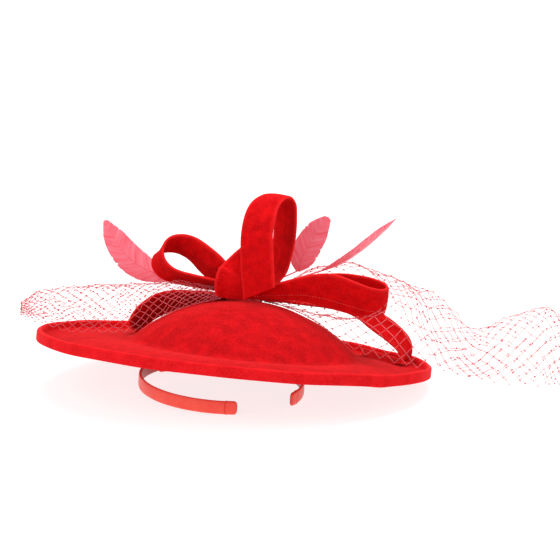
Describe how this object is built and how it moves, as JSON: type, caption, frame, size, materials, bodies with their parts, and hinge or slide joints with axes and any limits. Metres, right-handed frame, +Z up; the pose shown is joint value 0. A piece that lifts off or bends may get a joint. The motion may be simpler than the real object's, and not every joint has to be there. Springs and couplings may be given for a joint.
{
  "type": "fascinator headpiece",
  "caption": "Velvet saucer fascinator with a domed crown, ribbon loop bow, feathers and net veil, on a hinged satin headband.",
  "frame": {"origin": "middle of the bottom of the whole object's box, on the table that the hat lies on", "axes": "+Z up from the table, +X along the longest extent, from the short left wing of the veil to the long right one, +Y towards the back of the hat"},
  "size_m": [0.4286, 0.3038, 0.1479],
  "materials": {
    "velvet": "short-pile velvet, matte with a bright nap",
    "velvet_rim": "the same velvet rolled over the brim edge",
    "velvet_ribbon": "velvet ribbon, folded and stitched",
    "buckram": "stiffened cloth, dyed red",
    "felt": "pressed felt",
    "steel_wire": "millinery wire",
    "thread": "sewing thread",
    "satin": "satin, soft gloss",
    "headband_plastic": "springy moulded plastic",
    "feather_vane": "dyed feather barbs",
    "feather_quill": "stripped quill",
    "net": "fine hexagonal net with knots"
  },
  "bodies": {
    "hat": {"brim_base": "buckram", "brim_top_cover": "velvet", "brim_underside_cover": "velvet", "brim_edge_binding": "velvet_rim", "brim_wire": "steel_wire", "crown_cover": "velvet", "crown_shell": "buckram", "bow_base_pad": "felt", "bow_centre_wrap": "velvet_ribbon", "upright_loop": "velvet_ribbon", "left_loop": "velvet_ribbon", "right_loop": "velvet_ribbon", "lower_left_loop": "velvet_ribbon", "lower_right_loop": "velvet_ribbon", "knot_loop": "velvet_ribbon", "quill_binding": "thread", "feather_left_vane": "feather_vane", "feather_left_quill": "feather_quill", "feather_middle_vane": "feather_vane", "feather_middle_quill": "feather_quill", "feather_right_vane": "feather_vane", "feather_right_quill": "feather_quill", "veil_right": "net", "veil_left": "net", "headband_anchor_patch": "felt", "anchor_stitches": "thread", "keeper_loop_left": "satin", "keeper_loop_right": "satin"},
    "headband": {"headband_core": "headband_plastic", "headband_cover": "satin", "headband_tip_left": "satin", "headband_tip_right": "satin"}
  },
  "joints": [
    {"name": "headband_swing", "type": "hinge", "parent": "hat", "child": "headband", "pos_m": [-0.09449, 0.02093, 0.01712], "axis": [0.8281, 0.5606, 0], "range_deg": [0, 100]}
  ]
}
